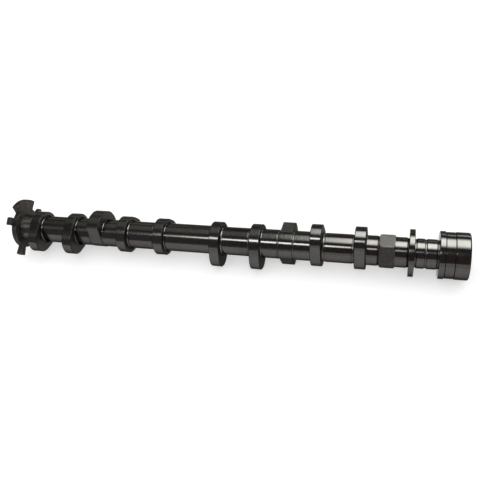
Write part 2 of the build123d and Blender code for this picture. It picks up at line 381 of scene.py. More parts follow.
def finish(name):
    """The material of a finish, made the first time that it is asked for.

    It is bare iron with machining rings, mottling and a thin film of old oil. The rings lie at
    steady places along the shaft on a round surface, and run as circles about the shaft on a
    face square to it.
    """
    if f"{name}_iron" in bpy.data.materials:
        return bpy.data.materials[f"{name}_iron"]
    hue, rough, share, brushed, marks, mottle, contrast, film = FINISHES[name]
    settings = bpy.context.scene.camshaft.finishes
    base, roughness = getattr(settings, hue), getattr(settings, f"{rough}_roughness") * share
    (mark_count, mark_depth), (mottle_count, mottle_depth) = marks, mottle
    material, nodes, surface = new_material(f"{name}_iron")
    place = nodes.add("ShaderNodeTexCoord").outputs["Object"]
    along, across, up = nodes.add("ShaderNodeSeparateXYZ", {0: place}).outputs
    off_axis = nodes.math("SQRT", nodes.math("ADD", nodes.math("POWER", across, 2.0),
                                             nodes.math("POWER", up, 2.0)))

    # Machining rings, a little broken up round the shaft.
    ring_place = nodes.add("ShaderNodeCombineXYZ", {0: along, 1: off_axis})
    rings = nodes.noise(ring_place, mark_count, detail=3.0, roughness=0.65)
    breaks = nodes.noise(place, mottle_count * BREAK_SHARE, detail=2.0)
    ring_height = nodes.math("MULTIPLY", rings, nodes.spread(breaks, (0.35, 0.65), (0.35, 1.0)))

    # Mottling of the metal and patches of film.
    mottling = nodes.noise(place, mottle_count, detail=5.0, roughness=0.6)
    patches = nodes.noise(place, FILM_PATCHES, detail=3.0, roughness=0.55)
    dark, light = ((*[channel * (1 + sign * contrast) for channel in base], 1.0)
                   for sign in (-1, 1))
    metal = nodes.blend(nodes.spread(mottling, MOST), dark, light)
    scored = nodes.blend(nodes.spread(ring_height, (0.30, 0.62), (0.0, 0.5)), metal, light)
    filmed = nodes.spread(patches, (0.40, 0.68), (0.0, film))
    nodes.feed(surface, "Base Color", nodes.blend(filmed, scored, (*settings.oil, 1.0)))

    rough_metal = nodes.spread(mottling, MOST, (roughness * 0.82, roughness * 1.22))
    rough_ring = nodes.spread(ring_height, MOST, (-0.015, 0.02))
    nodes.feed(surface, "Roughness", nodes.math("ADD", rough_metal, rough_ring))

    grain = nodes.add("ShaderNodeBump",
                      {"Height": mottling, "Distance": mottle_depth, "Strength": 1.0})
    tooling = {"Height": ring_height, "Distance": mark_depth, "Strength": 1.0, "Normal": grain}
    nodes.feed(surface, "Normal", nodes.add("ShaderNodeBump", tooling))
    surface.inputs["Metallic"].default_value = 1.0
    surface.inputs["Specular Tint"].default_value = (*settings.grazing, 1.0)

    # The marks run round the shaft, so reflections spread across them.
    down = nodes.math("MULTIPLY", up, -1.0)
    round_shaft = nodes.add("ShaderNodeCombineXYZ", {1: down, 2: across})
    facing = nodes.add("ShaderNodeNewGeometry").outputs["Normal"]
    spreading = nodes.add("ShaderNodeVectorMath", {0: round_shaft, 1: facing},
                          operation="CROSS_PRODUCT")
    nodes.feed(surface, "Tangent",
               nodes.add("ShaderNodeVectorMath", {0: spreading}, operation="NORMALIZE"))
    surface.inputs["Anisotropic"].default_value = brushed
    return material


# --- Mesh building ------------------------------------------------------------------------

ROUND_STEPS = 224  # facets round a turned length
CORNER_STEPS = 4  # facets across a rounded edge
FILLET_STEPS = 6  # facets round a fillet of the trigger wheel
HOLE_STEPS = 64  # facets round a drilled hole
SHARP = radians(32)  # an edge that turns more than this is shaded sharp


def toward(direction, distance=1.0):
    """The point at a direction and distance from the shaft's axis."""
    return Vector((cos(direction), sin(direction))) * distance


def circle(radius, steps, centre=(0, 0)):
    """Points round a circle across the shaft."""
    directions = [tau * step / steps for step in range(steps)]
    y, z = centre
    return [(y + radius * cos(turn), z + radius * sin(turn)) for turn in directions]


def arc(centre, radius, start, end, steps, outward=1.0):
    """Outline points along an arc. outward is -1 on the inside of a cove."""
    rays = [toward(start + (end - start) * step / steps) for step in range(steps + 1)]
    return [(Vector(centre) + ray * radius, ray * outward) for ray in rays]


def new_object(name, data):
    """An object in the scene's collection."""
    thing = bpy.data.objects.new(name, data)
    bpy.context.scene.collection.objects.link(thing)
    return thing


def skin(name, rings, closed=False):
    """A mesh through rings that follow each other towards +X.

    Each ring is (place along the shaft, points across it). A closed skin joins its last ring to
    its first, and an open one has a flat face at each end.
    """
    count = len(rings[0][1])
    vertices = [(place, y, z) for place, outline in rings for y, z in outline]
    faces = []
    for row in range(len(rings) if closed else len(rings) - 1):
        here, there = row * count, (row + 1) % len(rings) * count
        for step in range(count):
            beside = (step + 1) % count
            faces.append((here + step, here + beside, there + beside, there + step))
    if not closed:
        faces.append(tuple(reversed(range(count))))
        faces.append(tuple(range(len(vertices) - count, len(vertices))))
    mesh = bpy.data.meshes.new(name)
    mesh.from_pydata(vertices, [], faces)
    return mesh


def tidy_shading(mesh):
    """Smooth shading, with sharp edges at corners and round the flat end faces."""
    mesh.polygons.foreach_set("use_smooth", [True] * len(mesh.polygons))
    mesh.set_sharp_from_angle(angle=SHARP)
    flat_edges = {key for face in mesh.polygons if len(face.vertices) > 4 for key in face.edge_keys}
    for edge in mesh.edges:
        if edge.key in flat_edges:
            edge.use_edge_sharp = True


def new_piece(name, mesh):
    """A finished piece. It moves with the camshaft and stands for a share of its solid."""
    tidy_shading(mesh)
    piece = new_object(name, mesh)
    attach(piece, BODY)
    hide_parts(NODE)
    return piece


def skinned_piece(name, rings, finishes, choose=None, closed=False):
    """A piece through rings. choose(centre, normal) names the finish of one face."""
    mesh = skin(name, rings, closed)
    mesh.validate()
    for item in finishes:
        mesh.materials.append(finish(item))
    if choose:
        for face in mesh.polygons:
            face.material_index = finishes.index(choose(face.center, face.normal))
    return new_piece(name, mesh)


def rounded(corners):
    """A profile of (place, radius) points. Each corner is (place, radius, rounding)."""
    points = []
    for number, (place, radius, rounding) in enumerate(corners):
        if rounding <= 0 or number in (0, len(corners) - 1):
            points.append((place, radius))
            continue
        here = Vector((place, radius))
        back = (Vector(corners[number - 1][:2]) - here).normalized()
        ahead = (Vector(corners[number + 1][:2]) - here).normalized()
        turn = pi - back.angle(ahead)
        reach = rounding * tan(turn / 2)
        middle = here + (back + ahead).normalized() * (rounding / cos(turn / 2))
        first, last = here + back * reach - middle, here + ahead * reach - middle
        for step in range(CORNER_STEPS + 1):
            share = step / CORNER_STEPS
            ray = first * sin((1 - share) * turn) + last * sin(share * turn)
            points.append(tuple(middle + ray / sin(turn)))
    return points


def guarded(points):
    """The same profile with points close to the ends of its long stretches.

    They keep the shading of a long stretch straight right up to its rounded corners.
    """
    guarded_points = [points[0]]
    for start, end in zip(points, points[1:]):
        stretch = Vector(end) - Vector(start)
        if stretch.length > 5 * GUARD:
            guarded_points.append(tuple(Vector(start) + stretch.normalized() * GUARD))
            guarded_points.append(tuple(Vector(end) - stretch.normalized() * GUARD))
        guarded_points.append(end)
    return guarded_points


def lathe(name, corners, finishes, choose=None, closed=False):
    """A turned piece from its profile, rear to front. A closed profile leaves a bore."""
    rings = [(place, circle(radius, ROUND_STEPS)) for place, radius in guarded(rounded(corners))]
    return skinned_piece(name, rings, finishes, choose, closed)


def disc(name, outline, rear, front, edge, finishes, choose=None):
    """A piece cut across the shaft, with bevelled edges whose corners are eased.

    Its outline is a list of (point, outward direction).
    """
    ease = edge * 0.25
    off_corner = ease * 0.45
    half = [(0.0, edge + GUARD), (0.0, edge), (off_corner, edge - ease),
            (edge - ease, off_corner), (edge, 0.0), (edge + GUARD, 0.0)]
    profile = [(rear + place, inset) for place, inset in half]
    profile += [(front - place, inset) for place, inset in reversed(half)]
    rings = [(place, [point - outward * inset for point, outward in outline])
             for place, inset in profile]
    return skinned_piece(name, rings, finishes, choose)


def applied(thing):
    """The mesh that an object's modifiers make. The modifiers are taken off."""
    bpy.context.view_layer.update()
    evaluated = thing.evaluated_get(bpy.context.evaluated_depsgraph_get())
    mesh = bpy.data.meshes.new_from_object(evaluated)
    thing.modifiers.clear()
    return mesh


def drill(piece, centre, stages):
    """Drills a round hole along X into a piece, from (place, radius) pairs rear to front."""
    mesh = skin("drill", [(place, circle(radius, HOLE_STEPS, centre)) for place, radius in stages])
    mesh.materials.append(finish("turned_relief"))
    bit = new_object("drill", mesh)
    cut = piece.modifiers.new("Hole", "BOOLEAN")
    cut.operation, cut.solver, cut.material_mode = "DIFFERENCE", "EXACT", "TRANSFER"
    cut.object = bit
    piece.data = applied(piece)
    piece.data.name = piece.name
    bpy.data.objects.remove(bit)
    tidy_shading(piece.data)


# --- Places along the shaft ---------------------------------------------------------------

# The lengths of the front end, from the front face back.
FRONT_LENGTHS = ("front_land", "recess", "rear_land", "drum_neck", "front_ring", "ring_groove",
                 "rear_ring", "flange_neck", "flange", "front_shaft")


def front_places(front):
    """Where each length of the front end begins, at its rear."""
    places, place = {}, FRONT_END
    for name in FRONT_LENGTHS:
        place -= getattr(front, name)
        places[name] = place
    return places


def counterweight_places():
    """Each counterweight is midway between two cylinders."""
    first, second, third, fourth = CYLINDER_PLACES
    return [(first + second) / 2, (third + fourth) / 2]


# --- Pieces -------------------------------------------------------------------------------


class CAMSHAFT_OT_shaft(bpy.types.Operator):
    """Turn the plain shaft with its journals, reliefs and the coves under each lobe"""

    bl_idname = "camshaft.shaft"
    bl_label = "Shaft and journals"

    def execute(self, context):
        settings = context.scene.camshaft
        shaft, lobes, weights = settings.shaft, settings.lobes, settings.weights
        plain, relief = shaft.diameter / 2, shaft.relief_diameter / 2
        places = front_places(settings.front)
        hexagon_rear = places["front_shaft"] - settings.hexagon.length
        half = shaft.journal_length / 2
        journals = [(place - half, place + half) for place in CYLINDER_PLACES]

        # Lengths with a radius of their own: (rear, front, radius).
        lengths = [(*journal, shaft.journal_diameter / 2) for journal in journals]
        for place in CYLINDER_PLACES:
            for lobe in (place + lobes.spacing / 2, place - lobes.spacing / 2):
                lengths.append((lobe - lobes.width / 2, lobe + lobes.width / 2,
                                plain + shaft.foot_radius))
        for place in counterweight_places():
            rear, front = place - weights.width / 2, place + weights.width / 2
            lengths += [(rear - shaft.relief_length, rear, relief),
                        (rear, front, relief + shaft.counterweight_foot),
                        (front, front + shaft.relief_length, relief)]
        lengths += [(hexagon_rear - shaft.relief_length, hexagon_rear, relief),
                    (places["flange"] - shaft.flange_relief, places["flange"], relief)]

        corners = [(REAR_END + settings.wheel.thickness - EMBED, plain, 0.0)]
        done_to, radius_now, _ = corners[0]
        hair = 1e-6  # a step or a gap smaller than this is left out

        def step_to(place, radius):
            """A step in the profile, coved on the low side and eased on the high side.

            A lobe's or a counterweight's foot is nearly all cove, with a sharp top.
            """
            nonlocal radius_now
            rise = abs(radius - radius_now)
            if rise < hair:
                return
            if rise > shaft.foot_radius * 0.9:
                cove, ease = rise * 0.98, 0.0
            else:
                cove, ease = rise * 0.3, min(shaft.journal_edge, rise * 0.45)
            before, after = (cove, ease) if radius > radius_now else (ease, cove)
            corners.extend([(place, radius_now, before), (place, radius, after)])
            radius_now = radius

        for rear, front, radius in sorted(lengths):
            if rear - done_to > hair:
                in_cylinder = any(abs((rear + done_to) / 2 - place) < lobes.spacing / 2
                                  for place in CYLINDER_PLACES)
                step_to(done_to, relief if in_cylinder else plain)
            step_to(rear, radius)
            done_to = front
        corners.append((places["flange"] + EMBED, radius_now, 0.0))

        rear_lobe = min(CYLINDER_PLACES) - lobes.spacing / 2
        # The reliefs behind the flange and behind the hexagon get painted shade: they are painted
        # near black.
        painted_shade_lengths = [(places["flange"] - shaft.flange_relief - EMBED / 4, FRONT_END),
                        (hexagon_rear - shaft.relief_length - EMBED / 4, hexagon_rear)]

        cove_side, cove_end = 0.2, 0.72  # share of a normal along the shaft on a cove's front side

        def choose(centre, normal):
            off_axis = hypot(centre.y, centre.z)
            if centre.x < rear_lobe:
                return "coarse_turned"
            if any(rear < centre.x < front for rear, front in painted_shade_lengths):
                return "oily_groove"
            if off_axis < relief + 0.6 * SLIGHT and abs(normal.x) < cove_side:
                return "turned_relief"
            # A cove's front side gets the painted highlight of the fillet finish, and its steepest
            # ring, by the lobe's face, painted shade.
            if off_axis < plain + shaft.foot_radius and normal.x > cove_side:
                return "fillet" if normal.x < cove_end else "oily_groove"
            if any(rear < centre.x < front for rear, front in journals):
                return "polished"
            return "ground"

        lathe("shaft_and_journals", corners,
              ["ground", "polished", "turned_relief", "fillet", "coarse_turned", "oily_groove"],
              choose)
        return {"FINISHED"}


# Rows of a lobe's blank from the middle of its rim to an end: the guard loop, the start of the
# bevel, its two eased corners and the end face. Each is (rows from the middle, its step towards
# the end, its step in from the rim), with both steps in shares of the bevel.
BEVEL_ROWS = ((1.5, 0.25, 0.0), (2.5, 0.26, 0.12), (3.5, 0.62, 0.62), (4.5, 0.12, 0.26))


def lobe_tree(inputs):
    """Geometry nodes that stand a cam lobe on each point, with its nose in the point's direction.

    A lobe's outline is four arcs: base circle, nose and two flanks. A point of it is the arc's
    centre plus the arc's radius along the outward direction, so an inset only shortens the radius.
    """
    tree = bpy.data.node_groups.new("cam_lobes_on_points", "GeometryNodeTree")
    for side in ("INPUT", "OUTPUT"):
        tree.interface.new_socket("Geometry", in_out=side, socket_type="NodeSocketGeometry")
    for name, value in inputs.items():
        kind = "Float" if isinstance(value, float) else "Material"
        tree.interface.new_socket(name, in_out="INPUT", socket_type=f"NodeSocket{kind}")
    nodes = Nodes(tree)
    given = nodes.add("NodeGroupInput").outputs

    around, across = 288, 10
    blank = nodes.add("GeometryNodeMeshCylinder",
                      {"Vertices": around, "Side Segments": across, "Fill Segments": 1,
                       "Radius": 1.0, "Depth": float(across)}, fill_type="NGON")
    position = nodes.add("GeometryNodeInputPosition")
    level, aloft, lengthways = nodes.add("ShaderNodeSeparateXYZ", {0: position}).outputs
    row = nodes.math("ABSOLUTE", lengthways)
    turn = nodes.math("ARCTAN2", aloft, level)
    turn_size = nodes.math("ABSOLUTE", turn)
    on_nose = nodes.math("LESS_THAN", turn_size, given["Nose tangent"])
    on_base = nodes.math("GREATER_THAN", turn_size, given["Base tangent"])

    def by_arc(nose, flank, base):
        """Picks a value by the arc that the outward direction falls on."""
        inner = nodes.add("ShaderNodeMix", {0: on_nose, 2: flank, 3: nose})
        return nodes.add("ShaderNodeMix", {0: on_base, 2: inner, 3: base}).outputs[0]

    radius = by_arc(given["Nose radius"], given["Flank radius"], given["Base radius"])
    along = by_arc(given["Nose offset"], given["Flank along"], 0.0)
    flank_side = nodes.math("MULTIPLY", nodes.math("SIGN", turn), -1.0)
    aside = by_arc(0.0, nodes.math("MULTIPLY", flank_side, given["Flank aside"]), 0.0)

    drop, inset = -sum(step for _, step, _ in BEVEL_ROWS), 0.0
    for limit, more_drop, more_inset in BEVEL_ROWS:
        beyond = nodes.math("GREATER_THAN", row, limit)
        drop = nodes.math("MULTIPLY_ADD", beyond, more_drop, drop)
        inset = nodes.math("MULTIPLY_ADD", beyond, more_inset, inset)
    half = nodes.math("MULTIPLY", given["Width"], 0.5)
    from_middle = nodes.math("MULTIPLY", nodes.math("GREATER_THAN", row, 0.5),
                             nodes.math("MULTIPLY_ADD", given["Edge"], drop, half))
    place = nodes.math("MULTIPLY", from_middle, nodes.math("SIGN", lengthways))
    short = nodes.math("SUBTRACT", radius, nodes.math("MULTIPLY", inset, given["Edge"]))
    y = nodes.math("MULTIPLY_ADD", short, nodes.math("COSINE", turn), along)
    z = nodes.math("MULTIPLY_ADD", short, nodes.math("SINE", turn), aside)
    lobe = nodes.add("GeometryNodeSetPosition",
                     {"Geometry": blank.outputs["Mesh"],
                      "Position": nodes.add("ShaderNodeCombineXYZ", {0: place, 1: y, 2: z})})
    direction = nodes.add("GeometryNodeInputNamedAttribute", {"Name": "nose_direction"},
                          data_type="FLOAT")
    turned = nodes.add("ShaderNodeCombineXYZ", {0: direction.outputs["Attribute"]})
    placed = nodes.add("GeometryNodeInstanceOnPoints",
                       {"Points": given["Geometry"], "Instance": lobe, "Rotation": turned})
    lobes = nodes.add("GeometryNodeRealizeInstances", {0: placed})
    facing = nodes.add("ShaderNodeSeparateXYZ", {0: nodes.add("GeometryNodeInputNormal")})
    slope = nodes.math("ABSOLUTE", facing.outputs[0])
    for name, least_slope in (("Rim finish", -1.0), ("Bevel finish", BEVEL_SLOPE),
                              ("End finish", END_SLOPE)):
        lobes = nodes.add("GeometryNodeSetMaterial",
                          {"Geometry": lobes, "Material": given[name],
                           "Selection": nodes.math("GREATER_THAN", slope, least_slope)})
    nodes.add("NodeGroupOutput", {0: lobes})
    return tree


class CAMSHAFT_OT_lobes(bpy.types.Operator):
    """Grind the eight cam lobes, each turned to its cylinder's place in the firing order"""

    bl_idname = "camshaft.lobes"
    bl_label = "Cam lobes"

    def execute(self, context):
        sizes = context.scene.camshaft.lobes
        base = sizes.base_diameter / 2
        nose_offset = base + sizes.lift - sizes.nose_radius
        to_base = sizes.flank_radius - base
        to_nose = sizes.flank_radius - sizes.nose_radius
        along = (nose_offset**2 + to_base**2 - to_nose**2) / (2 * nose_offset)
        aside = sqrt(to_base**2 - along**2)

        centres, directions = [], []
        for place, firing_place in zip(CYLINDER_PLACES, sizes.firing_places):
            for side in (1, -1):
                centres.append((place + side * sizes.spacing / 2, 0.0, 0.0))
                directions.append(sizes.front_nose - firing_place * sizes.firing_interval)
        points = bpy.data.meshes.new("lobe_points")
        points.from_pydata(centres, [], [])
        attribute = points.attributes.new("nose_direction", "FLOAT", "POINT")
        attribute.data.foreach_set("value", directions)
        carrier = new_object("lobe_points", points)

        inputs = {
            "Width": sizes.width,
            "Base radius": base,
            "Nose radius": sizes.nose_radius,
            "Nose offset": nose_offset,
            "Flank radius": sizes.flank_radius,
            "Flank along": along,
            "Flank aside": aside,
            "Nose tangent": atan2(aside, nose_offset - along),
            "Base tangent": atan2(aside, -along),
            "Edge": sizes.edge,
            "Rim finish": finish("lobe_rim"),
            # The bevels get painted shade: the bevel finish is painted dark.
            "Bevel finish": finish("bevel"),
            "End finish": finish("milled"),
        }
        grinder = carrier.modifiers.new("Cam lobes", "NODES")
        grinder.node_group = lobe_tree(inputs)
        for item in grinder.node_group.interface.items_tree:
            if item.name in inputs:
                grinder[item.identifier] = inputs[item.name]
        mesh = applied(carrier)
        mesh.name = "cam_lobes"
        bpy.data.objects.remove(carrier)
        if len(mesh.polygons) == 0:
            raise RuntimeError("the cam lobes came out empty")
        new_piece("cam_lobes", mesh)
        return {"FINISHED"}


class CAMSHAFT_OT_counterweights(bpy.types.Operator):
    """Cut the two counterweights, heavy on one side and flush with the shaft on the other"""

    bl_idname = "camshaft.counterweights"
    bl_label = "Counterweights"

    def execute(self, context):
        sizes = context.scene.camshaft.weights
        back, ease = sizes.back_diameter / 2, sizes.corner_rounding
        tangent = sizes.half_angle + acos(back / sizes.radius)
        rounded_from = tangent - acos((back - ease) / (sizes.radius - ease))
        long_steps, short_steps = 96, 12

        def choose(centre, normal):
            off_axis = hypot(centre.y, centre.z)
            # Bevels get painted shade: the bevel finish is painted dark.
            if abs(normal.x) > BEVEL_SLOPE:
                return "bevel" if abs(normal.x) < END_SLOPE else "milled"
            if off_axis < back + SLIGHT:
                return "ground"
            return "lobe_rim" if off_axis > sizes.radius - SLIGHT else "milled"

        directions = (sizes.front_direction, sizes.rear_direction)
        for number, (place, direction) in enumerate(zip(counterweight_places(), directions), 1):
            start, end = direction - rounded_from, direction + rounded_from
            low, high = direction - tangent, direction + tangent
            eased = sizes.radius - ease
            outline = arc((0, 0), sizes.radius, start, end, long_steps)
            outline += arc(toward(end, eased), ease, end, high, short_steps)[1:]
            outline += arc((0, 0), back, high, low + tau, long_steps)
            outline += arc(toward(start, eased), ease, low, start, short_steps)[:-1]
            disc(f"counterweight_{number}", outline, place - sizes.width / 2,
                 place + sizes.width / 2, sizes.edge, ["milled", "lobe_rim", "ground", "bevel"],
                 choose)
        return {"FINISHED"}


class CAMSHAFT_OT_trigger_wheel(bpy.types.Operator):
    """Cut the trigger wheel with its four tabs, and the lathe centre's hole behind it"""

    bl_idname = "camshaft.trigger_wheel"
    bl_label = "Trigger wheel"

    def execute(self, context):
        sizes = context.scene.camshaft.wheel
        root, tip = sizes.root_diameter / 2, sizes.tip_diameter / 2
        cove, knee = sizes.root_fillet, sizes.tip_fillet
        root_turn, tip_turn = asin(cove / (root + cove)), asin(knee / (tip - knee))
        tabs = [
            (middle - width / 2, middle + width / 2)
            for middle, width in (
                (sizes.right_direction, sizes.narrow_angle),
                (sizes.wide_direction, sizes.wide_angle),
                (sizes.upper_direction, sizes.narrow_angle),
                (sizes.left_direction, sizes.narrow_angle),
            )
        ]

        def long_arc(radius, start, end, covered, least):
            """An arc without its end points, and a facet for every two degrees covered.

            It has no points where two tabs meet and leave no room for it.
            """
            steps = max(least, round(degrees(covered) / 2))
            return arc((0, 0), radius, start, end, steps)[1:-1] if end > start else []

        outline = []
        for (start, end), (next_start, _) in zip(tabs, tabs[1:] + [(tabs[0][0] + tau, None)]):
            outline += arc(toward(start - root_turn, root + cove), cove, start - root_turn + pi,
                           start + pi / 2, FILLET_STEPS, -1.0)
            outline += arc(toward(start + tip_turn, tip - knee), knee, start - pi / 2,
                           start + tip_turn, FILLET_STEPS)
            outline += long_arc(tip, start + tip_turn, end - tip_turn, end - start, least=8)
            outline += arc(toward(end - tip_turn, tip - knee), knee, end - tip_turn,
                           end + pi / 2, FILLET_STEPS)
            outline += arc(toward(end + root_turn, root + cove), cove, end - pi / 2,
                           end + root_turn - pi, FILLET_STEPS, -1.0)
            low, high = end + root_turn, next_start - root_turn
            outline += long_arc(root, low, high, high - low, least=6)
        wheel = disc("trigger_wheel", outline, REAR_END, REAR_END + sizes.thickness, sizes.edge,
                     ["cast"])
        hole, mouth = sizes.centre_hole_diameter / 2, sizes.centre_hole_mouth / 2
        cone = (mouth - hole) / tan(radians(CENTRE_CONE / 2))
        stages = [(REAR_END - cone, 2 * mouth - hole), (REAR_END + cone, hole),
                  (REAR_END + sizes.centre_hole_depth, hole)]
        for piece in (wheel, bpy.data.objects["shaft_and_journals"]):
            drill(piece, (0, 0), stages)
        return {"FINISHED"}


class CAMSHAFT_OT_hexagon(bpy.types.Operator):
    """Mill the hexagon that a spanner holds, with its corners turned and its ends chamfered"""

    bl_idname = "camshaft.hexagon"
    bl_label = "Spanner hexagon"

    def execute(self, context):
        settings = context.scene.camshaft
        sizes = settings.hexagon
        front = front_places(settings.front)["front_shaft"]
        rear = front - sizes.length
        turned = sizes.turned_diameter / 2
        steps, rows = 360, 12
        chamfer = [sizes.end_chamfer * row / rows for row in range(rows + 1)]
        places = [rear + step for step in chamfer] + [front - step for step in reversed(chamfer)]
        rings = []
        for place in places:
            limit = min(turned, turned - sizes.end_chamfer + min(place - rear, front - place))
            ring = []
            for step in range(steps):
                direction = tau * step / steps
                from_corner = (direction - sizes.direction + pi / 6) % (pi / 3) - pi / 6
                from_flat = pi / 6 - abs(from_corner)
                flat = sizes.across_flats / 2 / cos(from_flat)
                ring.append(toward(direction, min(limit, flat)))
            rings.append((place, ring))

        def choose(centre, normal):
            on_flat = hypot(centre.y, centre.z) < turned - 0.15 * SLIGHT
            return "spanner" if on_flat else "lobe_rim"

        skinned_piece("spanner_hexagon", rings, ["spanner", "lobe_rim"], choose)
        return {"FINISHED"}


def hole_size(name):
    """A round mount's radius and depth, in metres."""
    sizes = MOUNTS[name]["dims"]
    return sizes["r_mm"] / 1000, sizes["length_mm"] / 1000


class CAMSHAFT_OT_front_end(bpy.types.Operator):
    """Turn the thrust flange, the ringed oil neck and the drum that takes the cam drive"""

    bl_idname = "camshaft.front_end"
    bl_label = "Flange, oil neck and drum"

    def execute(self, context):
        sizes = context.scene.camshaft.front
        places = front_places(sizes)
        neck, ring = sizes.neck_diameter / 2, sizes.ring_diameter / 2
        core, bore_depth = hole_size("bolt_hole")
        bore, bore_end = core + sizes.thread_depth, FRONT_END - bore_depth
        needle = bore / 8  # the fine hole that a closed profile leaves behind the bore

        flange = sizes.flange_diameter / 2
        lathe("thrust_flange",
              [(places["flange"], neck, 0.0),
               (places["flange"], flange, sizes.flange_edge),
               (places["flange_neck"], flange, sizes.flange_edge),
               (places["flange_neck"], neck - EMBED, 0.0)],
              ["polished"])

        cove = 0.0004
        start, end = places["flange_neck"] - EMBED, places["rear_land"] + EMBED
        corners = [(start, neck, 0.0)]
        for rear, front in (("rear_ring", "ring_groove"), ("front_ring", "drum_neck")):
            corners += [(places[rear], neck, cove), (places[rear], ring, sizes.ring_edge),
                        (places[front], ring, sizes.ring_edge), (places[front], neck, cove)]
        corners += [(end, neck, 0.0), (end, bore, 0.0), (bore_end, bore, 0.0),
                    (bore_end, needle, 0.0), (start, needle, 0.0)]

        def shade_neck(centre, normal):
            return "turned_relief" if hypot(centre.y, centre.z) < neck + SLIGHT else "polished"

        lathe("oil_neck", corners, ["polished", "turned_relief"], shade_neck, closed=True)

        recess, rear_land = sizes.recess_diameter / 2, sizes.rear_land_diameter / 2
        land = MOUNTS["drum_land"]["dims"]["r_mm"] / 1000
        floor, width = recess - sizes.groove_depth, sizes.groove_width
        foot, brow = 0.24 * width, 0.18 * width
        rear_groove = [(places["recess"], floor, foot), (places["recess"] + width, floor, foot),
                       (places["recess"] + width, recess, brow)]
        front_groove = [(places["front_land"] - width, recess, brow),
                        (places["front_land"] - width, floor, foot),
                        (places["front_land"], floor, foot)]

        def shade_drum(centre, normal):
            off_axis = hypot(centre.y, centre.z)
            # The scribed grooves get painted shade: they are painted near black.
            if floor < off_axis + SLIGHT / 2 < recess and abs(normal.x) < 0.995:
                return "oily_groove"
            return "turned_relief" if off_axis < bore + MOUTH else "polished"

        drum = lathe("drive_drum",
                     [(places["rear_land"], bore, 0.0),
                      (places["rear_land"], rear_land, sizes.rear_chamfer),
                      (places["recess"], rear_land, sizes.land_edge),
                      *rear_groove,
                      *front_groove,
                      (places["front_land"], land, sizes.land_edge),
                      (FRONT_END, land, sizes.front_chamfer),
                      (FRONT_END, bore + MOUTH, 0.0),
                      (FRONT_END - MOUTH, bore, 0.0)],
                     ["polished", "turned_relief", "oily_groove"], shade_drum, closed=True)
        radius, depth = hole_size("dowel_hole")
        chamfer = 0.0003
        drill(drum, MOUNTS["dowel_hole"]["pos_m"][1:],
              [(FRONT_END - depth, radius), (FRONT_END - chamfer, radius),
               (FRONT_END + chamfer, radius + 2 * chamfer)])
        return {"FINISHED"}


class CAMSHAFT_OT_bolt_thread(bpy.types.Operator):
    """Cut the thread in the bolt hole"""

    bl_idname = "camshaft.bolt_thread"
    bl_label = "Bolt hole thread"

    def execute(self, context):
        sizes = context.scene.camshaft.front
        core, depth = hole_size("bolt_hole")
        steps, rows_to_a_turn, fading_turns = 72, 8, 3
        rows = int(depth / sizes.thread_pitch * rows_to_a_turn)
        rings = []
        for row in range(rows + 1):
            place = FRONT_END - MOUTH - (depth - MOUTH) * row / rows
            cut = sizes.thread_depth * min(1.0, (rows - row) / (fading_turns * rows_to_a_turn))
            ring = []
            for step in range(steps):
                turn = (place / sizes.thread_pitch - step / steps) % 1.0
                ring.append(toward(tau * step / steps, core + cut * (1 - abs(2 * turn - 1))))
            rings.append((place, ring))

        # The last rings follow the drill's cone to its point, turn outwards and run back.
        bottom, point = FRONT_END - depth, core * 0.03
        cone_end, outside = bottom - core * 0.3, bottom - core * 0.4
        backing = 0.0003
        wall = core + sizes.thread_depth + backing
        rings += [(place, circle(radius, steps)) for place, radius in (
            (bottom, core / 2), (cone_end, point), (outside, point), (outside, wall),
            (FRONT_END - MOUTH - EMBED / 4, wall))]
        skinned_piece("bolt_thread", rings, ["turned_relief"], closed=True)
        return {"FINISHED"}


# --- Stage --------------------------------------------------------------------------------

WHITE = (1.0, 1.0, 1.0, 1.0)

# Soft lamps and dim sheets round the shaft: name, direction in degrees, distance, middle along
# the shaft, length and breadth, the share of each over which it fades at an edge, and the
# settings that hold its colour and its brightness.
LAMPS = (
    ("strip_lamp", 113, 0.80, -0.335, (0.73, 0.20), (0.5, 0.3), "strip_colour", "strip_light"),
    ("broad_lamp", 60, 0.80, 0.13, (0.96, 0.93), (0.27, 0.35), "broad_colour", "broad_light"),
    ("low_lamp", 9.5, 1.20, 0.35, (0.80, 0.20), (0.3, 0.4), "broad_colour", "low_light"),
    ("rear_fill", 58, 1.10, -0.60, (1.50, 1.40), (0.35, 0.4), "broad_colour", "fill_light"),
    ("low_fill", 13, 1.35, -1.20, (1.30, 0.70), (0.3, 0.3), "broad_colour", "low_fill"),
    ("overhead_fill", 112, 1.15, -1.00, (1.30, 0.90), (0.3, 0.4), "strip_colour", "overhead_fill"),
    ("front_fill", 145, 1.20, -1.20, (1.60, 1.20), (0.3, 0.2), "strip_colour", "front_fill"),
)


def seen_in_mirrors(nodes):
    """1 for camera, glossy and transmission rays, so that metal mirrors the pale surroundings."""
    rays = nodes.add("ShaderNodeLightPath").outputs
    bright = nodes.math("MAXIMUM", rays["Is Camera Ray"], rays["Is Glossy Ray"])
    return nodes.math("MAXIMUM", bright, rays["Is Transmission Ray"])


def pale_floor(stage):
    """A plain pale floor that keeps the object's shadow."""
    material, nodes, surface = new_material("pale_floor")
    surface.inputs["Base Color"].default_value = (*stage.floor_colour, 1.0)
    surface.inputs["Roughness"].default_value = 0.9
    surface.inputs["Specular IOR Level"].default_value = 0.1
    surface.inputs["Emission Color"].default_value = WHITE
    glow = nodes.math("MULTIPLY", seen_in_mirrors(nodes), stage.floor_glow)
    nodes.feed(surface, "Emission Strength", glow)
    return material


def sheet(name, corner, along, up, material):
    """A flat rectangle of the stage, which isn't part of the object."""
    corner, along, up = Vector(corner), Vector(along), Vector(up)
    mesh = bpy.data.meshes.new(name)
    mesh.from_pydata([corner, corner + along, corner + along + up, corner + up], [], [(0, 1, 2, 3)])
    mesh.materials.append(material)
    thing = new_object(name, mesh)
    return thing


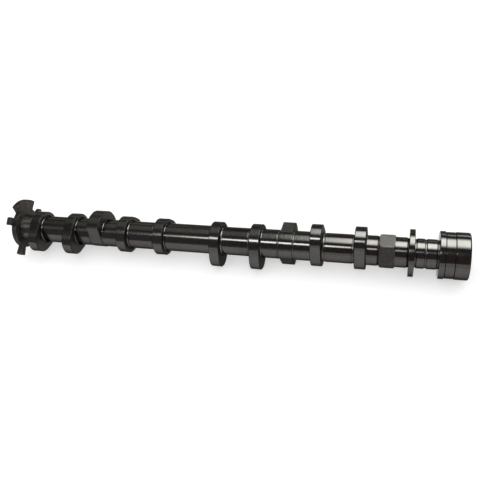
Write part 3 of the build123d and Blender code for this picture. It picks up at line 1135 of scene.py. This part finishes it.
def screen(name, corner, along, up, material):
    """A flat screen or lamp front that only mirrors see. It casts no shade."""
    card = sheet(name, corner, along, up, material)
    front = card.data.uv_layers.new(name="front")
    for point, place in zip(front.data, ((0, 0), (1, 0), (1, 1), (0, 1))):
        point.uv = place
    card.visible_camera = card.visible_diffuse = card.visible_shadow = False


def glowing(name):
    """A material that only glows: itself, its nodes, the node that glows, and across and up."""
    material, nodes, surface = new_material(name)
    nodes.tree.nodes.remove(surface)
    glow = nodes.add("ShaderNodeEmission")
    nodes.feed(nodes.tree.nodes["Material Output"], "Surface", glow)
    front = nodes.add("ShaderNodeTexCoord").outputs["UV"]
    across, up, _ = nodes.add("ShaderNodeSeparateXYZ", {0: front}).outputs
    return material, nodes, glow, (across, up)


def screen_material(name, foot, head):
    """Glows dimly, from one shade at the screen's foot to another at its head."""
    material, nodes, glow, (_, up) = glowing(name)
    share = nodes.spread(up, (0.0, 0.75))
    nodes.feed(glow, "Color", nodes.blend(share, (*foot, 1.0), (*head, 1.0)))
    return material


def lamp(name, place, size, fades, hue, brightness, least):
    """A soft rectangular lamp that faces the shaft. size is (along X, across).

    It is brightest in its middle, and fades over a share of its length and breadth at each edge,
    down to the least brightness, that of the screens behind it.
    """
    material, nodes, glow, axes = glowing(name)
    shares = []
    for axis, fade in zip(axes, fades):
        inside = nodes.math("MINIMUM", axis, nodes.math("SUBTRACT", 1.0, axis))
        shares.append(nodes.add("ShaderNodeMapRange", {"Value": inside, "From Max": fade},
                                interpolation_type="SMOOTHSTEP"))
    glow.inputs["Color"].default_value = (*hue, 1.0)
    share = nodes.math("MULTIPLY", *shares)
    nodes.feed(glow, "Strength", nodes.spread(share, (0.0, 1.0), (least, brightness)))
    outward = Vector((0.0, *place[1:])).normalized()
    along = Vector((size[0], 0.0, 0.0))
    across = outward.cross(along).normalized() * size[1]
    screen(name, Vector(place) - along / 2 - across / 2, along, across, material)


class CAMSHAFT_OT_stage(bpy.types.Operator):
    """Set the floor, the lamps, the dark screens, the white surroundings and the camera"""

    bl_idname = "camshaft.stage"
    bl_label = "Stage"

    def execute(self, context):
        scene = context.scene
        stage = scene.camshaft.stage
        size = stage.floor_size
        sheet("floor", (-size / 2, -size / 2, FLOOR_LEVEL), (size, 0, 0), (0, size, 0),
              pale_floor(stage))

        scene.world = bpy.data.worlds.new("white_room")
        scene.world.use_nodes = True
        nodes = Nodes(scene.world.node_tree)
        background = nodes.tree.nodes["Background"]
        background.inputs["Color"].default_value = WHITE
        mirrored = nodes.spread(seen_in_mirrors(nodes), (0.0, 1.0), (stage.room_light, 1.0))
        nodes.feed(background, "Strength", mirrored)

        shade = stage.screen_shade
        dark = screen_material("dark_screen", shade, shade)
        brown = screen_material("brown_screen", stage.front_shade, stage.front_shade)
        fading = screen_material("fading_screen", stage.screen_foot, shade)
        card = screen_material("white_card", stage.card_shade, stage.card_shade)
        foot = Vector((-2.2, -1.5, FLOOR_LEVEL))
        wide, deep = Vector((3.8, 0.0, 0.0)), Vector((0.0, 3.0, 0.0))
        tall, low = Vector((0.0, 0.0, 1.6 - FLOOR_LEVEL)), Vector((0.0, 0.0, 0.46 - FLOOR_LEVEL))
        screen("front_screen", foot, wide, tall, brown)
        screen("rear_screen", foot + deep, wide, tall, fading)
        screen("top_screen", foot + tall, wide, deep, dark)
        screen("left_screen", foot, deep, tall, dark)
        screen("right_screen", foot + wide, deep, tall, dark)
        screen("front_card", foot + Vector((0.0, 0.1, 0.0)), wide, low, card)
        for name, direction, distance, middle, spans, fades, hue, brightness in LAMPS:
            lamp(name, (middle, *toward(radians(direction), distance)), spans, fades,
                 getattr(stage, hue), getattr(stage, brightness), sum(shade) / 3)

        general = bpy.data.lights.new("room_lamp", "AREA")
        general.size = 1.5
        general.energy = stage.room_lamp
        above = new_object("room_lamp", general)
        above.location = (REAR_END / 2, 0.1, 1.4)
        above.visible_glossy = False

        camera = new_object("camera", bpy.data.cameras.new("camera"))
        camera.data.lens = stage.lens
        camera.data.sensor_width = 36.0
        raised, azimuth = stage.camera_elevation, stage.camera_azimuth
        ahead = Vector((sin(azimuth) * cos(raised), cos(azimuth) * cos(raised), -sin(raised)))
        right = ahead.cross(Vector((0.0, 0.0, 1.0))).normalized()
        upward = right.cross(ahead)
        rolled_right = right * cos(stage.camera_roll) + upward * sin(stage.camera_roll)
        turn = Matrix((rolled_right, rolled_right.cross(ahead), -ahead)).transposed().to_4x4()
        place = Vector(stage.camera_aim) - ahead * stage.camera_distance
        camera.matrix_world = Matrix.Translation(place) @ turn
        scene.camera = camera
        scene.view_settings.view_transform = "Standard"
        return {"FINISHED"}


# --- Panel and registration ---------------------------------------------------------------

# Each operator, in the order in which they run, with its group of settings.
PIECES = (
    (CAMSHAFT_OT_stage, "stage"),
    (CAMSHAFT_OT_shaft, "shaft"),
    (CAMSHAFT_OT_lobes, "lobes"),
    (CAMSHAFT_OT_counterweights, "weights"),
    (CAMSHAFT_OT_trigger_wheel, "wheel"),
    (CAMSHAFT_OT_hexagon, "hexagon"),
    (CAMSHAFT_OT_front_end, "front"),
    (CAMSHAFT_OT_bolt_thread, None),
)


class CAMSHAFT_PT_panel(bpy.types.Panel):
    """Lists the camshaft's pieces and their sizes."""

    bl_label = "Camshaft"
    bl_idname = "CAMSHAFT_PT_panel"
    bl_space_type = "VIEW_3D"
    bl_region_type = "UI"
    bl_category = "Camshaft"

    def draw(self, context):
        for operator, group in (*PIECES, (None, "finishes")):
            box = self.layout.box()
            if operator:
                box.operator(operator.bl_idname)
            if group:
                settings = getattr(context.scene.camshaft, group)
                for name in settings.bl_rna.properties.keys():
                    if name not in ("rna_type", "name"):
                        box.prop(settings, name)


CLASSES = (
    CamshaftShaftSizes,
    CamshaftLobeSizes,
    CamshaftWeightSizes,
    CamshaftWheelSizes,
    CamshaftHexagonSizes,
    CamshaftFrontSizes,
    CamshaftFinishes,
    CamshaftStageSettings,
    CamshaftSettings,
    *(operator for operator, _ in PIECES),
    CAMSHAFT_PT_panel,
)


def register():
    for item in CLASSES:
        bpy.utils.register_class(item)
    bpy.types.Scene.camshaft = bpy.props.PointerProperty(type=CamshaftSettings)


def unregister():
    del bpy.types.Scene.camshaft
    for item in reversed(CLASSES):
        bpy.utils.unregister_class(item)


def main():
    """Builds the stage and every piece."""
    register()
    for operator, _ in PIECES:
        family, name = operator.bl_idname.split(".")
        getattr(getattr(bpy.ops, family), name)()


if __name__ == "__main__":
    main()
